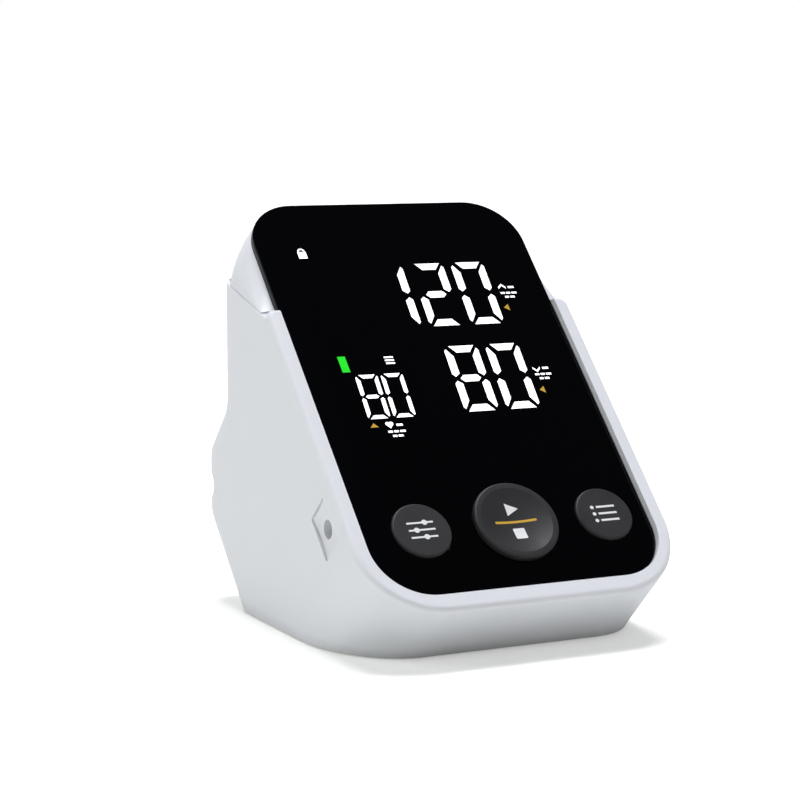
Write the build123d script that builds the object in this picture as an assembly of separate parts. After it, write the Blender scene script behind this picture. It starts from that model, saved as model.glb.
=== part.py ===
from build123d import *
import os
from math import cos, radians, sin, tan

# Upper arm blood pressure monitor: a wedge-shaped desktop unit with a leaning
# glossy front panel.  Millimetres, X to the right, Y to the rear, Z up.  The
# origin is on the table under the middle of the unit.  On the slope, "s" is the
# distance up from the panel's lower edge and "depth" the distance below its face.

# ---- front panel ---------------------------------------------------------
lean = 46.0              # slope of the front panel from the table, degrees
panel_width = 100.0
panel_length = 155.5
panel_corner = 18.0
panel_thickness = 2.0
panel_edge = 0.3         # chamfer round its face
panel_y = -61.9          # lower edge of the panel
panel_z = 21.4

# ---- casing --------------------------------------------------------------
rim_side = 5.0           # width of the rim beside the panel
rim_bottom = 6.0         # below the panel
rim_proud = 2.0
rim_round = 1.9
rim_clear = 0.6          # underside of the rim below the front plate
arm_length = 110.5       # end of the rim's arms, up the slope
arm_round = 3.0
case_corner = 25.0       # corners of the casing at the front
wall = 2.2
gap = 0.15               # fitting gap between parts of the casing
ground_gap = 0.4         # height of the casing above the table
back_reach = 5.4         # upright back behind the top of the panel
bulge_reach = 15.2       # rearmost face behind the upright back
undercut = 88.1          # depth of the undercut face below the panel's face
bulge_height = 24.2      # height of the rearmost face
waist_rise = 16.0        # from its top up to where the slant meets the back
knee_round = 10.0
waist_round = 8.0
rear_round = 7.0
groove_rise = 11.1       # finger groove above the foot of the rearmost face
groove_radius = 4.6
groove_depth = 7.9

# ---- upper housing -------------------------------------------------------
seam_angle = 15.7        # rise of the seam towards the rear
seam_ahead = 0.2         # a point on the seam, beyond the arm ends
seam_depth = 1.8
shell_inset = 0.3        # sides of the upper housing inside the casing's
shell_rear_round = 10.5
shell_belly = 1.4        # how far its sides swell between panel and seam
shell_belly_end = 1.0
shell_front = 2.0
hollow_front = 6.0
hollow_drop = 1.0        # its hollow runs on below the seam
plate_thickness = 2.0    # front plate of the upper housing
ledge = 0.25             # front plate to the panel's edge
window = (-39.0, 39.5)   # display window across the plate
window_low = 57.0
window_margin = 17.5     # window to the top of the panel
window_round = 2.0

# ---- buttons -------------------------------------------------------------
button_s = 23.7
set_x = -29.6
start_x = 2.8
memory_x = 34.6
small_button_radius = 9.7
start_button_radius = 14.0
small_button_proud = 0.8
start_button_proud = 1.8
start_rim = 2.1          # raised ring round the dish of the start button
start_dish = 1.5
start_line = (14.6, 0.85)
button_gap = 0.4
button_flange = 1.3
flange_thickness = 1.0
flange_gap = 0.1
icon_depth = 1.2
plunger_radius = 1.5
plunger_length = 2.5
switch_size = 6.2
switch_drop = 2.4        # top of a switch below the front plate

# ---- main board ----------------------------------------------------------
board_depth = 9.5        # face of the main board below the panel's face
board_thickness = 1.6
board_half = 40.0
board_margin = 7.5       # wide part of the board to the casing's side
wide_board_from = 57.0
wide_board_to = 95.0
board_bottom = 6.0
board_top_margin = 15.5
low_post = (34.0, 9.0)  # posts that the board is screwed to
high_post_inset = 11.5
high_post_s = 90.0
post_radius = 3.0
small_pilot = 1.0        # radii of screw holes and screws
small_screw = 0.95
small_head = 2.4
small_clearance = 1.3
board_head = 1.6
slot_width = 0.6
sensor_size = 7.4
sensor_height = 3.0

# ---- air parts -----------------------------------------------------------
port_s = 34.0            # air socket, up the slope and below the panel
port_depth = 10.6
port_recess_s = 16.0
port_recess_d = 11.6
port_corner = 0.9
socket_inset = 0.35      # face of the insert inside the casing's side
socket_bore = 3.0
socket_depth = 5.9
socket_wall = 1.4
socket_floor = 1.2
socket_flange = 1.5
socket_flange_thickness = 1.3
dish_radius = 60.0
dish_depth = 0.9
elbow_radius = 2.2
elbow_reach = 2.8
air_bore = 0.6
hose_radius = 2.0
hose_bore = 1.3
hose_gap = 0.1
barb = 1.25
barb_length = 4.5
manifold_inset = 12.0
manifold_y = -4.0
manifold_half = 3.0
manifold_cap = 0.5
pump_bend = 6.0          # bends of the hoses
sensor_bend = 7.0
sensor_turn_z = 51.0     # where the sensor's hose turns towards the board

pump_y = 20.0
pump_radius = 13.5
pump_length = 32.0
pump_x = -2.0            # joint between the motor and the pump head
head_length = 24.0
head_floor = 9.0
head_bore = 9.0
can_wall = 1.2
can_floor = 1.5
cap_length = 3.0
cap_space = 4.0          # end of the can to the end of the pump
cap_boss = 4.0
tag_y = 7.0              # soldering tags
tag_half = 1.4
tag_reach = 6.0
tag_thickness = 0.6
rotor_radius = 9.5
rotor_length = 19.0
rotor_start = 4.0
rotor_slots = 5
rotor_slot = 1.8
shaft_radius = 1.0
shaft_ahead = 11.0
eccentric_radius = 4.2
eccentric_throw = 1.4
eccentric_width = 4.5
eccentric_end = 6.0
diaphragm_thickness = 1.2
running_gap = 0.05
strap_x = 13.0
strap_half = 5.0
strap_thickness = 1.05
strap_ear = 4.2          # ear screws beyond the pump
ear_inner = 3.6
ear_outer = 3.2
ear_thickness = 1.0
foam_half = 11.0
foam_inset = 2.0
foam_top = 8.0           # below the pump's axis

valve_x = 1.0
valve_half = 7.0
valve_half_depth = 5.0
valve_gap = 1.1          # below the hose
valve_sheet = 1.2
coil_radius = 5.2
coil_gap = 0.1
coil_floor = 1.2
coil_bore = 2.3
core_radius = 2.22
core_hole = 2.4
core_low = 4.0
core_high = 1.2          # above the hoses' axis
core_tip = 0.9
core_tip_radius = 1.2
valve_head_top = 5.0
valve_chamber = 3.2
valve_chamber_top = 2.2

# ---- battery and base ----------------------------------------------------
cell_radius = 7.1
cell_length = 50.0
cell_gap = 0.6
cell_nub = 2.6
cell_nub_length = 1.5
cell_edge = 0.5
well_side = 1.0          # outer cells to the sides of the well
well_front = -21.5
well_spare = 5.0         # room for contacts and springs
well_wall = 1.4
well_clear = 0.8         # above the cells
cell_clear = 0.2         # below them
contact_half = 5.5
contact_reach = 6.0
contact_thickness = 0.45
spring_pitch = 0.95
spring_radius = 3.6
spring_wire = 0.3
door_inset = 0.6         # door inside the sides of the well
door_ahead = 2.0
door_thickness = 1.9
door_clear = 0.2
door_tongue = 1.4        # sideways reach of the door's tongues
tongue_thickness = 0.8
door_lip = 1.9           # full-width end of the door
grip_stations = (22.0, 25.0, 28.0)
grip_half = 9.0
grip_width = 1.4
grip_depth = 0.6
base_thickness = 3.0
tray_thickness = 2.0
tray_margin = 7.0        # tray to the casing's side
tray_front = -23.0
tray_rear = 42.0
tray_post_x = 2.5        # from the well's side
tray_post_radius = 2.9
tray_post_y = (-18.0, 30.0)
tray_pilot_depth = 7.5
tray_head = 1.5
foot_radius = 5.0
foot_recess = 0.8
foot_gap = 0.1
foot_edge = 0.4
front_foot_inset = 22.0
front_foot_y = -37.0
rear_foot_clear = 3.6    # from the door's side
rear_foot_y = 29.0

# ---- screws and sockets --------------------------------------------------
lug_inset = 4.4          # screws that hold the front plate
lug_stations = (48.5, 102.0)
lug_width = 12.0
lug_length = 8.0
lug_thickness = 2.4
lug_drop = 4.1           # below the front plate
lug_post = 3.6
lug_clear = 0.2
large_clearance = 1.7
plate_pilot = 1.2
plate_screw = 1.15
plate_head = 2.8
plate_head_height = 1.8
boss_inset = 11.0        # screws that hold the base cover
boss_stations = (-29.0, 16.0)
boss_radius = 3.4
boss_height = 12.0
boss_rib = 12.0
boss_pilot = 1.3
base_screw = 1.25
base_screw_reach = 9.0
base_head = 2.7
base_head_height = 1.4
base_sink = 1.6
sink_radius = 3.0
jack_radius = 5.2        # power socket in the back
jack_x = 30.0
jack_rise = 16.0         # above the waist
jack_depth = 9.0
jack_flange = 2.0
jack_flange_thickness = 1.5
jack_bore = 2.75
jack_floor = 1.0
jack_pin_radius = 0.85
jack_pin_inset = 1.5

# ---- lit figures ---------------------------------------------------------
digit_height = 26.5
digit_width = 12.4
digit_pitch = 15.3
digit_stroke = 2.7
small_digit_height = 17.3
small_digit_width = 7.8
small_digit_pitch = 8.9
small_digit_stroke = 1.4
digit_slant = 3.0
figure_depth = 0.3
figure_proud = 0.02
last_digit_x = 16.6
upper_number_s = 101.8
lower_number_s = 66.7
small_number = (-24.1, 66.3)
caption_width = 6.0      # a mark over two broken lines
caption_line = 0.75
caption_lines = ((0.0, ((0.18, 0.42), (0.5, 0.78))), (1.7, ((0.0, 0.26), (0.34, 0.6), (0.68, 1.0))))
mark_rise = 3.5
mark_half = 1.35
heart_lobe = 0.75
mark_stroke = 0.8
mark_line = (3.6, 5.8)
upper_caption = (32.3, 112.4)
lower_caption = (32.0, 77.8)
pulse_caption = (-27.9, 59.0)
memory_mark = (-19.6, -16.4)
memory_mark_s = (87.4, 88.6, 89.8)
memory_bar = 0.6
lock_x = -34.3
lock_s = 132.2
lock_half = 1.5
lock_height = 2.8
shackle_radius = 1.3
shackle_bore = 0.75
green_bar = (-35.7, -33.0, 85.0, 91.3)
arrow_x = (31.2, 33.1)
arrow_stations = (108.3, 73.6)
arrow_half = 1.35
up_arrow = (-31.9, 63.1)
up_arrow_half = 1.4
up_arrow_height = 1.6

# ---- values worked out from them -----------------------------------------
far = 200.0              # reach of tools that cut right through
past = 1.0               # overrun of short cuts
lean_sin = sin(radians(lean))
lean_cos = cos(radians(lean))
slope = Plane(origin=(0, panel_y, panel_z), x_dir=(1, 0, 0), z_dir=(0, -lean_sin, lean_cos))
half_panel = panel_width / 2
case_half = half_panel + rim_side
shell_half = case_half - shell_inset
plate_back = panel_thickness + plate_thickness
rim_floor = plate_back + rim_clear
board_back = board_depth + board_thickness
board_top = panel_length - board_top_margin
wide_board_half = case_half - board_margin
window_high = panel_length - window_margin
high_post_x = case_half - high_post_inset
lug_x = half_panel - lug_inset
lug_face = plate_back + lug_drop
boss_x = case_half - boss_inset
manifold_x = manifold_inset - case_half
base_top = ground_gap + base_thickness
tongue_top = ground_gap + door_thickness
door_cut_top = tongue_top + door_clear
cell_pitch = 2 * cell_radius + cell_gap
cell_z = base_top + cell_clear + cell_radius
cell_rows = [(row - 1.5) * cell_pitch for row in range(4)]
well_half = 2 * cell_pitch + well_side
well_rear = well_front + cell_length + well_spare
well_top = cell_z + cell_radius + well_clear
door_half = well_half - door_inset
door_front = well_front - door_ahead
tray_z = well_top + well_wall
tray_top = tray_z + tray_thickness
tray_half = case_half - tray_margin
head_end = pump_x - head_length
motor_end = pump_x + pump_length
can_end = motor_end - cap_space
rotor_x = pump_x + rotor_start
back_y = panel_y + panel_length * lean_cos + back_reach
bulge_y = back_y + bulge_reach
front_foot = (case_half - front_foot_inset, front_foot_y)
rear_foot = (door_half + door_tongue + rear_foot_clear + foot_radius, rear_foot_y)
strap_ears = (pump_y - pump_radius - strap_ear, pump_y + pump_radius + strap_ear)
sensor_s = (manifold_y - panel_y) * lean_cos + (sensor_turn_z - panel_z) * lean_sin
board_posts = [(-low_post[0], low_post[1]), low_post,
               (-high_post_x, high_post_s), (high_post_x, high_post_s)]
post_x = well_half + well_wall + tray_post_x
tray_posts = [(x, y) for x in (-post_x, post_x) for y in tray_post_y]
corner_bosses = [(x, y) for x in (-boss_x, boss_x) for y in boss_stations]
parts = {}


def slope_point(x, s, depth):
    """World point from a place across, up and below the panel's face."""
    y = panel_y + s * lean_cos + depth * lean_sin
    z = panel_z + s * lean_sin - depth * lean_cos
    return (x, y, z)


def undercut_height(y, inset):
    """Height of the undercut face at a station."""
    return panel_z + ((y - panel_y) * lean_sin - undercut + inset) / lean_cos


def undercut_reach(z, inset):
    """Station of the undercut face at a height."""
    return panel_y + (undercut - inset + (z - panel_z) * lean_cos) / lean_sin


bulge_low = undercut_height(bulge_y, 0)
bulge_top = bulge_low + bulge_height
waist_z = bulge_top + waist_rise
groove_z = bulge_low + groove_rise
jack_z = waist_z + jack_rise
door_lip_y = undercut_reach(ground_gap, 0) - door_lip
arm_end_y, arm_end_z = slope_point(0, arm_length, 0)[1:]
seam_y, seam_z = slope_point(0, arm_length + seam_ahead, seam_depth)[1:]
port_y, air_z = slope_point(0, port_s, port_depth)[1:]
valve_height = air_z - hose_radius - valve_gap - tray_top


def on_slope(shape):
    """Carry a shape drawn with x across, y up the slope, z out of the panel."""
    return slope.location * shape


def slab(width, length, x, s, top, thickness):
    """A plate parallel to the panel; top is how far its face lies below it."""
    return Pos(x, s, -top - thickness / 2) * Box(width, length, thickness)


def post(radius, x, s, top, height):
    """A round post square to the panel, going down from the given depth."""
    return Pos(x, s, -top - height / 2) * Cylinder(radius, height)


def x_rod(radius, x0, x1, y, z):
    """A rod along X between two stations."""
    return Pos((x0 + x1) / 2, y, z) * Rot(0, 90, 0) * Cylinder(radius, abs(x1 - x0))


def y_rod(radius, y0, y1, x, z):
    """A rod along Y between two stations."""
    return Pos(x, (y0 + y1) / 2, z) * Rot(90, 0, 0) * Cylinder(radius, abs(y1 - y0))


def z_rod(radius, z0, z1, x, y):
    """An upright rod between two heights."""
    return Pos(x, y, (z0 + z1) / 2) * Cylinder(radius, abs(z1 - z0))


def block(x0, x1, y0, y1, z0, z1):
    """An upright block between stations on each axis."""
    place = Pos((x0 + x1) / 2, (y0 + y1) / 2, (z0 + z1) / 2)
    return place * Box(abs(x1 - x0), abs(y1 - y0), abs(z1 - z0))


def rectangle(x0, x1, s0, s1):
    """A flat rectangle between stations."""
    return make_face(Polyline((x0, s0), (x1, s0), (x1, s1), (x0, s1), close=True))


def mirrored(shape):
    """The shape with its mirror image across the middle plane."""
    return shape + mirror(shape, about=Plane.YZ)


# ---- casing forms --------------------------------------------------------
def casing_outline(inset):
    """Outline of the casing seen square to the panel."""
    half = case_half - inset
    face = rectangle(-half, half, -rim_bottom + inset, panel_length + 40)
    corners = face.vertices().sort_by(Axis.Y)[:2]
    return fillet(corners, case_corner - inset)


def casing_profile(inset, floor):
    """Side view of the casing, as a prism right across it."""
    rear = bulge_y - inset
    back = back_y - inset
    waist = waist_z - inset / 2
    points = [(-far, floor), (undercut_reach(floor, inset), floor), (rear, undercut_height(rear, inset)),
              (rear, bulge_top - inset / 2), (back, waist), (back, far), (-far, far)]
    face = make_face(Polyline(*points, close=True))
    knees = face.vertices().sort_by(Axis.X)[-2:]
    face = fillet(knees, knee_round - inset)
    hollow = face.vertices().sort_by_distance((back, waist, 0))[0]
    face = fillet(hollow, waist_round + inset)
    return extrude(Plane.YZ * face, amount=far, both=True)


def side_edges(solid):
    """Edges where the sides meet the rear faces."""
    picked = []
    for edge in solid.edges():
        middle = edge.position_at(0.5)
        level = abs(edge.tangent_at(0.5).X) > 0.9
        rear = middle.Y > undercut_reach(ground_gap, 0) - 4 and middle.Z > ground_gap + 1
        if abs(middle.X) > half_panel and rear and not level:
            picked.append(edge)
    return picked


def seam_side():
    """Everything above the seam."""
    place = Pos(0, seam_y, seam_z) * Rot(seam_angle, 0, 0)
    return place * Box(2 * far, 2 * far, far, align=(Align.CENTER, Align.CENTER, Align.MIN))


def groove(extra):
    """Tool for the finger groove, widened by the wall for the inside."""
    radius = groove_radius + extra
    middle = bulge_y - groove_depth + groove_radius
    channel = x_rod(radius, -far, far, middle, groove_z)
    return channel + block(-far, far, middle, middle + far, groove_z - radius, groove_z + radius)


def casing_inside():
    """Hollow of the lower housing, below the rim and open at the base."""
    hollow = on_slope(Pos(0, 0, -rim_floor) * extrude(casing_outline(wall), amount=-far))
    return (hollow & casing_profile(wall, -past)) - groove(wall)


def arm_corners(solid):
    """Short edges square to the panel at the outer corners of the arm ends."""
    picked = []
    for edge in solid.edges():
        place = slope.to_local_coords(edge.position_at(0.5))
        at_end = abs(place.Y - arm_length) < 0.01 and abs(place.Z) < rim_proud
        if at_end and abs(place.X) > half_panel + 1:
            picked.append(edge)
    return picked


def rim_edges(solid):
    """Edges of the rim's face, before the opening for the panel is cut."""
    picked = []
    for edge in solid.edges():
        place = slope.to_local_coords(edge.position_at(0.5))
        if abs(place.Z - rim_proud) < 0.01:
            picked.append(edge)
    return picked


def casing_form():
    """Solid outside form of the lower housing, with its edges rounded."""
    prism = Pos(0, 0, rim_proud) * extrude(casing_outline(0), amount=-far)
    form = on_slope(prism) & casing_profile(0, ground_gap)
    arms = Pos(0, arm_length - far / 2, far / 2 - seam_depth) * Box(far, far, far)
    form = form - (seam_side() - on_slope(arms))
    form = fillet(side_edges(form), rear_round)
    form = fillet(arm_corners(form), arm_round)
    return fillet(rim_edges(form), rim_round)


def panel_opening():
    """Tool for the opening that the panel and the front plate drop into."""
    half = half_panel + gap
    opening = rectangle(-half, half, -gap, far)
    opening = fillet(opening.vertices().sort_by(Axis.Y)[:2], panel_corner + gap)
    return on_slope(Pos(0, 0, -rim_floor - 0.1) * extrude(opening, amount=20))


def port_opening():
    """Tool for the recess in the left side that holds the air socket."""
    port = fillet(Rectangle(port_recess_d, port_recess_s).vertices(), port_corner)
    turn = Plane(origin=(-far, port_s, -port_depth), x_dir=(0, 0, 1), z_dir=(1, 0, 0))
    return on_slope(turn.location * extrude(port, amount=far - manifold_half))


def make_lower_housing():
    form = casing_form() - groove(0) - casing_inside()
    form = form - panel_opening() - port_opening()
    form = form - y_rod(jack_radius + gap, back_y - 8, back_y + 8, jack_x, jack_z)
    door = door_half + door_tongue + 2 * gap
    form = form - block(-door, door, 0, far, -past, door_cut_top)
    inside = casing_inside()
    for s in lug_stations:
        lug = on_slope(slab(lug_width, lug_length, lug_x + 1.9, s, lug_face, lug_thickness))
        lug = (lug & inside) - on_slope(post(large_clearance, lug_x, s, 0, 30))
        form = form + mirrored(lug)
    low = base_top + 0.1
    for x, y in corner_bosses:
        rib = boss_rib if x > 0 else -boss_rib
        boss = z_rod(boss_radius, low, base_top + boss_height, x, y)
        boss = boss + block(x, x + rib, y - 1, y + 1, low, base_top + boss_height)
        pilot = z_rod(boss_pilot, 0, base_top + boss_height - 1, x, y)
        form = form + ((boss & inside) - pilot)
    return form


def rounded_plate(x0, x1, s0, s1, top, thickness, radius):
    """A plate parallel to the panel with rounded corners."""
    face = rectangle(x0, x1, s0, s1)
    return Pos(0, 0, -top) * extrude(fillet(face.vertices(), radius), amount=-thickness)


def shell_wedge(inset, front_depth, seam_offset, front):
    """Wedge between the panel's underside and the seam, with swelling sides."""
    reach = (back_y - inset - seam_y) / cos(radians(seam_angle))
    length = panel_length - inset - arm_length
    swell_half = (half_panel + shell_half) / 2 + shell_belly
    swell_corner = (panel_corner + shell_rear_round) / 2
    sections = (
        (lean, front_depth, half_panel, length, panel_corner),
        ((lean + seam_angle) / 2, 0, swell_half, (length + reach) / 2 - shell_belly_end, swell_corner),
        (seam_angle, -seam_offset, shell_half, reach, shell_rear_round),
    )
    wires = []
    for angle, depth, half, end, corner in sections:
        y, z = (arm_end_y, arm_end_z) if angle == lean else (seam_y, seam_z)
        place = Plane(origin=(0, y, z), x_dir=(1, 0, 0),
                      z_dir=(0, -sin(radians(angle)), cos(radians(angle))))
        face = rectangle(inset - half, half - inset, front, end)
        face = fillet(face.vertices().sort_by(Axis.Y)[-2:], corner - inset)
        wires.append((place.location * Pos(0, 0, -depth) * face).faces()[0].outer_wire())
    return Part() + Solid.make_loft(wires)


def button_holes(top, thickness, extra):
    """Round tools at the places of the buttons."""
    tools = post(small_button_radius + extra, set_x, button_s, top, thickness)
    tools = tools + post(small_button_radius + extra, memory_x, button_s, top, thickness)
    return tools + post(start_button_radius + extra, start_x, button_s, top, thickness)


def make_upper_housing():
    form = shell_wedge(0, panel_thickness, gap, shell_front)
    form = form - shell_wedge(wall, plate_back, -hollow_drop, hollow_front)
    side = half_panel - ledge
    plate = rounded_plate(-side, side, ledge, panel_length - ledge,
                          panel_thickness, plate_thickness, panel_corner - ledge)
    form = form + on_slope(plate)
    root = plate_back - 0.5
    for s in lug_stations:
        form = form + mirrored(on_slope(post(lug_post, lug_x, s, root, lug_face - lug_clear - root)))
    for x, s in board_posts:
        form = form + on_slope(post(post_radius, x, s, root, board_depth - root))
    for s in lug_stations:
        form = form - mirrored(on_slope(post(plate_pilot, lug_x, s, panel_thickness + 0.8, 10)))
    for x, s in board_posts:
        form = form - on_slope(post(small_pilot, x, s, panel_thickness + 1, 10))
    top = panel_thickness - past
    opening = rounded_plate(window[0], window[1], window_low, window_high,
                            top, plate_thickness + 4, window_round)
    return form - on_slope(opening) - on_slope(button_holes(top, plate_thickness + 2, button_gap))


# ---- lit figures ---------------------------------------------------------
upright_strokes = ("up left", "up right", "down left", "down right")
numerals = {
    "0": ("top", "low") + upright_strokes,
    "1": ("up right", "down right"),
    "2": ("top", "mid", "low", "up right", "down left"),
    "8": ("top", "mid", "low") + upright_strokes,
}


def digit_segments(x, s, width, height, stroke, lit):
    """Faces of a seven-segment digit whose lower left corner is at x, s."""
    mid = height / 2
    tip = stroke * 0.6
    shapes = {
        "top": ((0.16, height), (0.9, height), (0.74, height - stroke), (0.34, height - stroke)),
        "low": ((0.11, 0), (0.88, 0), (0.7, stroke), (0.28, stroke)),
        "mid": ((0.2, mid), (0.3, mid + stroke / 2), (0.7, mid + stroke / 2),
                (0.8, mid), (0.7, mid - stroke / 2), (0.3, mid - stroke / 2)),
    }
    side = ((0, mid + 1.2 * tip), (0.4 * stroke, mid + 0.5 * tip), (stroke, mid + 1.3 * tip),
            (stroke, height - stroke - tip), (0.25 * stroke, height - 0.7 * tip), (0, height - 1.2 * tip))
    faces = []
    for name in lit:
        if name in shapes:
            points = [(u * width, v) for u, v in shapes[name]]
        else:
            points = list(side)
            if "right" in name:
                points = [(width - u, v) for u, v in points]
            if "down" in name:
                points = [(u, height - v) for u, v in points]
        slanted = [(x + u + v * tan(radians(digit_slant)), s + v) for u, v in points]
        faces.append(make_face(Polyline(*slanted, close=True)))
    return faces


def number_faces(text, x, s, width, pitch, height, stroke):
    """A number whose last digit has its lower left corner at x, s."""
    faces = []
    for place, numeral in enumerate(reversed(text)):
        faces += digit_segments(x - place * pitch, s, width, height, stroke, numerals[numeral])
    return faces


def chevron(way):
    """An arrowhead that points up or down, for the upper and lower pressure."""
    points = [(-mark_half, -0.6), (0, 0.7), (mark_half, -0.6), (mark_half, -0.6 + mark_stroke),
              (0, 0.7 + mark_stroke), (-mark_half, -0.6 + mark_stroke)]
    return make_face(Polyline(*[(x, way * y) for x, y in points], close=True))


def heart():
    """A heart, for the pulse."""
    reach = mark_half - heart_lobe
    point = make_face(Polyline((-mark_half + 0.1, 0.3), (mark_half - 0.1, 0.3), (0, -1.2), close=True))
    return point + Pos(-reach, 0.6) * Circle(heart_lobe) + Pos(reach, 0.6) * Circle(heart_lobe)


def caption_faces(place, mark):
    """A mark and broken lines that stand for a caption."""
    x, s = place
    faces = []
    for rise, dashes in caption_lines:
        low = s + rise
        for start, end in dashes:
            faces.append(rectangle(x + start * caption_width, x + end * caption_width,
                                   low, low + caption_line))
    middle = s + mark_rise + 1.0
    faces.append(Pos(x + mark_half, middle) * mark)
    faces.append(rectangle(x + mark_line[0], x + mark_line[1], middle - 0.4, middle + 0.4))
    return faces


def white_faces():
    large = (digit_width, digit_pitch, digit_height, digit_stroke)
    small = (small_digit_width, small_digit_pitch, small_digit_height, small_digit_stroke)
    faces = number_faces("120", last_digit_x, upper_number_s, *large)
    faces += number_faces("80", last_digit_x, lower_number_s, *large)
    faces += number_faces("80", *small_number, *small)
    faces += caption_faces(upper_caption, chevron(1))
    faces += caption_faces(lower_caption, chevron(-1))
    faces += caption_faces(pulse_caption, heart())
    for s in memory_mark_s:
        faces.append(rectangle(*memory_mark, s, s + memory_bar))
    faces.append(rectangle(lock_x - lock_half, lock_x + lock_half, lock_s, lock_s + lock_height))
    shackle = Circle(shackle_radius) - Circle(shackle_bore) - Pos(0, -2) * Rectangle(6, 4)
    faces.append(Pos(lock_x, lock_s + lock_height + 0.15) * shackle)
    return faces


def arrow_faces():
    faces = []
    tip, tail = arrow_x
    for s in arrow_stations:
        corners = ((tip, s), (tail, s + arrow_half), (tail, s - arrow_half))
        faces.append(make_face(Polyline(*corners, close=True)))
    x, s = up_arrow
    corners = ((x - up_arrow_half, s), (x + up_arrow_half, s), (x, s + up_arrow_height))
    faces.append(make_face(Polyline(*corners, close=True)))
    return faces


def inlays(faces):
    """Thin lit solids level with the panel's face."""
    group = Part()
    for face in faces:
        group = group + Pos(0, 0, figure_proud) * extrude(face, amount=-figure_depth)
    return on_slope(group)


def make_front_panel(figures):
    plate = rounded_plate(-half_panel, half_panel, 0, panel_length, 0, panel_thickness, panel_corner)
    plate = chamfer(plate.faces().sort_by(Axis.Z)[-1].edges(), panel_edge)
    plate = plate - button_holes(-past, panel_thickness + 2 * past, button_gap)
    return on_slope(plate) - figures


# ---- buttons -------------------------------------------------------------
def button_cap(radius, x, proud, dish):
    """Cap with a flange that stops it behind the front plate."""
    flange = plate_back + flange_gap
    cap = post(radius, x, button_s, -proud, flange + proud)
    cap = fillet(cap.edges().filter_by(GeomType.CIRCLE).sort_by(Axis.Z)[-1], min(proud * 0.8, 0.7))
    if dish:
        hollow = radius - start_rim
        ball = (hollow ** 2 + dish ** 2) / (2 * dish)
        cap = cap - Pos(x, button_s, proud - dish + ball) * Sphere(ball)
    return cap + post(radius + button_flange, x, button_s, flange, flange_thickness)


def icon_tool(faces, x):
    """Prism of an icon down to just under the face of its button."""
    group = Part()
    for face in faces:
        group = group + Pos(x, button_s, -icon_depth) * extrude(face, amount=4)
    return group


def slider_icon():
    faces = []
    for s, knob in ((2.6, 1.6), (0.0, -1.8), (-2.6, 0.8)):
        faces.append(Pos(0, s) * Rectangle(9, 0.65) + Pos(knob, s) * Circle(0.95))
    return faces


def list_icon():
    faces = []
    for s in (2.5, 0.0, -2.5):
        faces.append(Pos(1.2, s) * Rectangle(6.6, 0.75))
        faces.append(Pos(-3.6, s) * Circle(0.65))
    return faces


def start_icon():
    arrow = make_face(Polyline((-1.8, 2.4), (2.5, 4.6), (-1.8, 6.8), close=True))
    return [arrow, Pos(0, -4.4) * RectangleRounded(4.0, 4.0, 0.4)]


def split_button(name, cap, icon_faces, x):
    """Cut the icon out of the cap as its own inlay."""
    tool = icon_tool(icon_faces, x)
    parts[name + "_button"] = on_slope(cap - tool)
    parts[name + "_icon"] = on_slope(cap & tool)
    top = plate_back + flange_gap + flange_thickness
    parts[name + "_plunger"] = on_slope(post(plunger_radius, x, button_s, top, plunger_length))


def make_switches():
    switches = Part()
    top = plate_back + switch_drop
    for x in (set_x, start_x, memory_x):
        body = slab(switch_size, switch_size, x, button_s, top, board_depth - top)
        hole = post(plunger_radius + running_gap, x, button_s, top - past, plunger_length + 1.1)
        switches = switches + (body - hole)
    return on_slope(switches)


# ---- display and main board ----------------------------------------------
def make_display():
    body = rounded_plate(window[0] + 0.3, window[1] - 0.3, window_low + 0.3, window_high - 0.3,
                         panel_thickness + 0.1, board_depth - panel_thickness - 0.15, 1.5)
    return on_slope(body)


def make_board():
    narrow = rectangle(-board_half, board_half, board_bottom, board_top)
    wide = rectangle(-wide_board_half, wide_board_half, wide_board_from, wide_board_to)
    board = Pos(0, 0, -board_depth) * extrude(narrow + wide, amount=-board_thickness)
    for x, s in board_posts:
        board = board - post(small_clearance, x, s, board_depth - past, board_thickness + 2 * past)
    return on_slope(board)


def make_chips():
    """Controller, memory, voltage regulators and a connector on the board's back."""
    chips = slab(12, 12, 8, 84, board_back, 1.6)
    chips = chips + slab(8, 5, -14, 92, board_back, 1.5)
    chips = chips + slab(5, 6, 26, 66, board_back, 1.8)
    chips = chips + slab(5, 6, 26, 78, board_back, 1.8)
    chips = chips + slab(16, 5, 4, 50, board_back, 4.5)
    return on_slope(chips)


def make_board_screws():
    group = Part()
    tip = plate_back + 1.5
    for x, s in board_posts:
        screw = post(small_screw, x, s, tip, board_back - tip + 0.1)
        screw = screw + post(small_head, x, s, board_back, board_head)
        group = group + (screw - slab(3, slot_width, x, s, board_back + board_head - 0.6, 1))
    return on_slope(group)


def make_plate_screws():
    group = Part()
    low = lug_face + lug_thickness
    tip = plate_back + 0.6
    for s in lug_stations:
        screw = post(plate_screw, lug_x, s, tip, low - tip + 0.1)
        screw = screw + post(plate_head, lug_x, s, low, plate_head_height)
        screw = screw - slab(3.4, slot_width + 0.1, lug_x, s, low + plate_head_height - 0.7, 1)
        group = group + mirrored(screw)
    return on_slope(group)


# ---- base ----------------------------------------------------------------
def base_core(extra):
    """The inside of the casing under the rim with a fitting gap, open downwards."""
    outline = extrude(casing_outline(wall + extra), amount=-far)
    below_rim = Pos(0, 0, -rim_floor - extra) * outline
    return on_slope(below_rim) & casing_profile(wall + extra, -past)


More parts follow.
